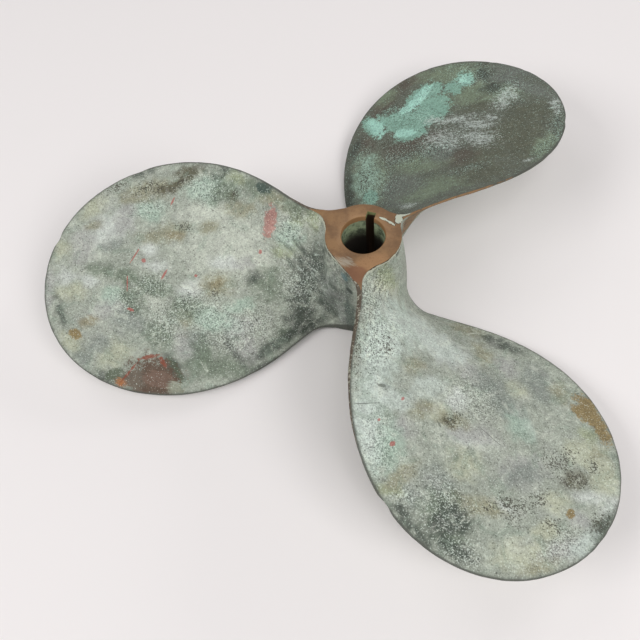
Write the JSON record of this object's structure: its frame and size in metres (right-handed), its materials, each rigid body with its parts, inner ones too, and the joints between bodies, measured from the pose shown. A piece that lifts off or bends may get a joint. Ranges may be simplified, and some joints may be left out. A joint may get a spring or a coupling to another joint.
{
  "type": "three-blade boat propeller",
  "caption": "Left-handed cast bronze boat propeller with wide round blades, a tapered keyed bore and an old green patina.",
  "frame": {"origin": "on the shaft's axis at the casting's centre of mass, 46.2 mm below the faced small end of the hub", "axes": "+Z along the shaft's axis towards the small end of the bore, which faces aft on a boat; one blade points along -X"},
  "size_m": [0.4279, 0.4631, 0.087],
  "materials": {
    "patinated_bronze": "matte grey-green patina, bare brown metal on the faced hub end and along the trailing edges"
  },
  "bodies": {
    "root": {"propeller_casting": "patinated_bronze"}
  },
  "joints": []
}
